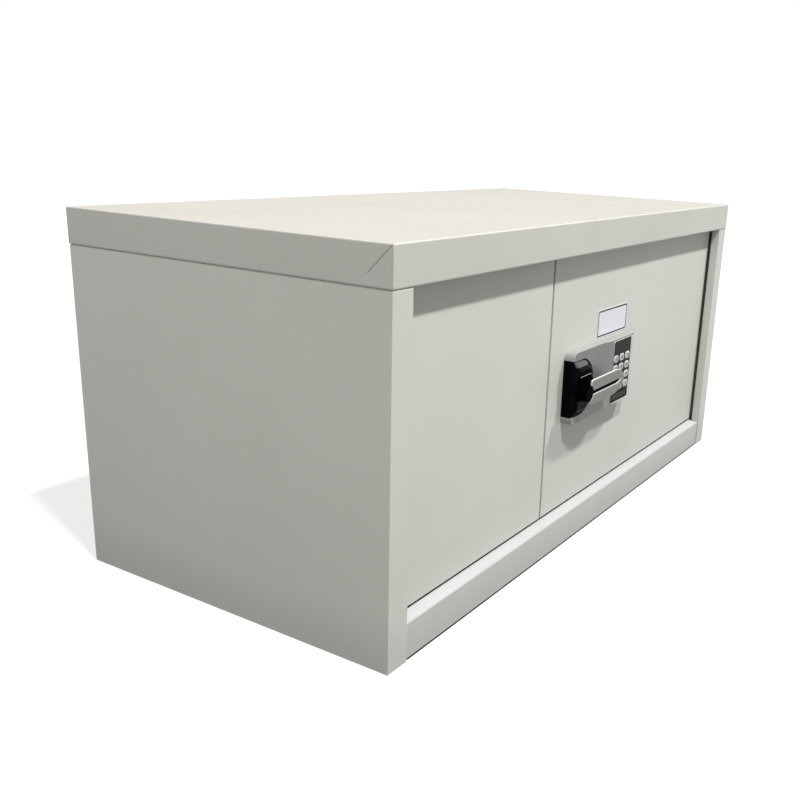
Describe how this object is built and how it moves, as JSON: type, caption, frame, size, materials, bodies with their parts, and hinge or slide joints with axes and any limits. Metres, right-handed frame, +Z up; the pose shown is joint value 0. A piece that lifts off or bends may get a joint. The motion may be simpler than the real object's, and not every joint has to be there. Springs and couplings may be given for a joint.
{
  "type": "security cabinet",
  "caption": "Low steel security cabinet with recessed hinged doors of unequal width, a keypad lock whose lever drives rods and a side bolt, and an inner shelf.",
  "frame": {"origin": "centre of the whole object's box in plan, on the floor that the cabinet stands on", "axes": "+X along the width to the viewer's right, +Y from the doors to the back, +Z up"},
  "size_m": [0.9008, 0.4392, 0.4],
  "materials": {
    "powder_coat": "fine-textured warm light grey powder coat, satin",
    "zinc_steel": "bright zinc-plated steel",
    "silver_plastic": "silver-grey painted plastic, satin",
    "bright_trim": "satin silver trim",
    "black_plastic": "gloss black moulded plastic",
    "charcoal_panel": "charcoal printed panel, satin",
    "key_rubber": "silver-grey keys, satin",
    "smoked_window": "smoked olive window, gloss",
    "label_plastic": "white plastic label plate, bare",
    "grey_nylon": "grey nylon",
    "circuit_board": "green circuit board",
    "battery_case": "black battery case"
  },
  "bodies": {
    "cabinet": {"left_side_panel": "powder_coat", "right_side_panel": "powder_coat", "back_panel": "powder_coat", "base_panel": "powder_coat", "head_rail": "powder_coat", "top_cap": "powder_coat", "shelf": "powder_coat", "shelf_rail_left": "zinc_steel", "shelf_rail_right": "zinc_steel", "lower_hinge_bracket_left": "zinc_steel", "lower_hinge_bracket_right": "zinc_steel", "upper_hinge_bracket_left": "zinc_steel", "upper_hinge_bracket_right": "zinc_steel"},
    "left_door": {"left_door_skin": "powder_coat", "left_door_liner": "powder_coat", "lower_hinge_bush_left": "grey_nylon", "upper_hinge_bush_left": "grey_nylon", "upper_hand_bolt_guide": "grey_nylon", "lower_hand_bolt_guide": "grey_nylon"},
    "upper_hand_bolt": {"upper_hand_bolt": "zinc_steel"},
    "lower_hand_bolt": {"lower_hand_bolt": "zinc_steel"},
    "right_door": {"right_door_skin": "powder_coat", "right_door_liner": "powder_coat", "lower_hinge_bush_right": "grey_nylon", "upper_hinge_bush_right": "grey_nylon", "upper_rod_guide": "grey_nylon", "lower_rod_guide": "grey_nylon", "side_bolt_guide": "grey_nylon", "lock_housing": "silver_plastic", "lock_side_block": "black_plastic", "hub_trim": "bright_trim", "keypad_plate": "charcoal_panel", "status_window": "smoked_window", "key_board": "circuit_board", "label_plate": "label_plastic", "solenoid": "grey_nylon", "lock_cover": "powder_coat", "battery_pack": "battery_case", "controller": "circuit_board"},
    "lever": {"lever_body": "black_plastic", "lever_cover": "silver_plastic", "spindle": "zinc_steel", "cam": "zinc_steel"},
    "upper_rod": {"upper_rod": "zinc_steel"},
    "lower_rod": {"lower_rod": "zinc_steel"},
    "side_bolt": {"side_bolt": "zinc_steel"},
    "blocking_pin": {"blocking_pin": "zinc_steel"},
    "key_1": {"key_1": "key_rubber"},
    "key_2": {"key_2": "key_rubber"},
    "key_3": {"key_3": "key_rubber"},
    "key_4": {"key_4": "key_rubber"},
    "key_5": {"key_5": "key_rubber"},
    "key_6": {"key_6": "key_rubber"},
    "key_7": {"key_7": "key_rubber"},
    "key_8": {"key_8": "key_rubber"},
    "key_9": {"key_9": "key_rubber"},
    "key_clear": {"key_clear": "key_rubber"},
    "key_0": {"key_0": "key_rubber"},
    "key_enter": {"key_enter": "key_rubber"}
  },
  "joints": [
    {"name": "left_door_hinge", "type": "hinge", "parent": "cabinet", "child": "left_door", "pos_m": [-0.4055, -0.1758, 0.2], "axis": [0, 0, -1], "range_deg": [0, 95]},
    {"name": "right_door_hinge", "type": "hinge", "parent": "cabinet", "child": "right_door", "pos_m": [0.4055, -0.1758, 0.2], "axis": [0, 0, 1], "range_deg": [0, 95]},
    {"name": "upper_hand_bolt_slide", "type": "slide", "parent": "left_door", "child": "upper_hand_bolt", "axis": [0, 0, 1], "range_m": [0, 0.014]},
    {"name": "lower_hand_bolt_slide", "type": "slide", "parent": "left_door", "child": "lower_hand_bolt", "axis": [0, 0, -1], "range_m": [0, 0.014]},
    {"name": "lever_turn", "type": "hinge", "parent": "right_door", "child": "lever", "pos_m": [-0.062, -0.2108, 0.2003], "axis": [0, 1, 0], "range_deg": [0, 90]},
    {"name": "upper_rod_slide", "type": "slide", "parent": "right_door", "child": "upper_rod", "axis": [0, 0, 1], "range_m": [0, 0.01705]},
    {"name": "lower_rod_slide", "type": "slide", "parent": "right_door", "child": "lower_rod", "axis": [0, 0, -1], "range_m": [0, 0.01705]},
    {"name": "side_bolt_slide", "type": "slide", "parent": "right_door", "child": "side_bolt", "axis": [-1, 0, 0], "range_m": [0, 0.01705]},
    {"name": "blocking_pin_slide", "type": "slide", "parent": "right_door", "child": "blocking_pin", "axis": [-1, 0, 0], "range_m": [0, 0.004], "stiffness_N_per_m": 20},
    {"name": "key_1_press", "type": "slide", "parent": "right_door", "child": "key_1", "axis": [0, 1, 0], "range_m": [0, 0.0012], "stiffness_N_per_m": 300},
    {"name": "key_2_press", "type": "slide", "parent": "right_door", "child": "key_2", "axis": [0, 1, 0], "range_m": [0, 0.0012], "stiffness_N_per_m": 300},
    {"name": "key_3_press", "type": "slide", "parent": "right_door", "child": "key_3", "axis": [0, 1, 0], "range_m": [0, 0.0012], "stiffness_N_per_m": 300},
    {"name": "key_4_press", "type": "slide", "parent": "right_door", "child": "key_4", "axis": [0, 1, 0], "range_m": [0, 0.0012], "stiffness_N_per_m": 300},
    {"name": "key_5_press", "type": "slide", "parent": "right_door", "child": "key_5", "axis": [0, 1, 0], "range_m": [0, 0.0012], "stiffness_N_per_m": 300},
    {"name": "key_6_press", "type": "slide", "parent": "right_door", "child": "key_6", "axis": [0, 1, 0], "range_m": [0, 0.0012], "stiffness_N_per_m": 300},
    {"name": "key_7_press", "type": "slide", "parent": "right_door", "child": "key_7", "axis": [0, 1, 0], "range_m": [0, 0.0012], "stiffness_N_per_m": 300},
    {"name": "key_8_press", "type": "slide", "parent": "right_door", "child": "key_8", "axis": [0, 1, 0], "range_m": [0, 0.0012], "stiffness_N_per_m": 300},
    {"name": "key_9_press", "type": "slide", "parent": "right_door", "child": "key_9", "axis": [0, 1, 0], "range_m": [0, 0.0012], "stiffness_N_per_m": 300},
    {"name": "key_clear_press", "type": "slide", "parent": "right_door", "child": "key_clear", "axis": [0, 1, 0], "range_m": [0, 0.0012], "stiffness_N_per_m": 300},
    {"name": "key_0_press", "type": "slide", "parent": "right_door", "child": "key_0", "axis": [0, 1, 0], "range_m": [0, 0.0012], "stiffness_N_per_m": 300},
    {"name": "key_enter_press", "type": "slide", "parent": "right_door", "child": "key_enter", "axis": [0, 1, 0], "range_m": [0, 0.0012], "stiffness_N_per_m": 300}
  ],
  "couplings": [
    {"joint": "upper_rod_slide", "follows": "lever_turn", "m_per_rad": 0.010823},
    {"joint": "lower_rod_slide", "follows": "lever_turn", "m_per_rad": 0.010823},
    {"joint": "side_bolt_slide", "follows": "lever_turn", "m_per_rad": 0.010823}
  ]
}
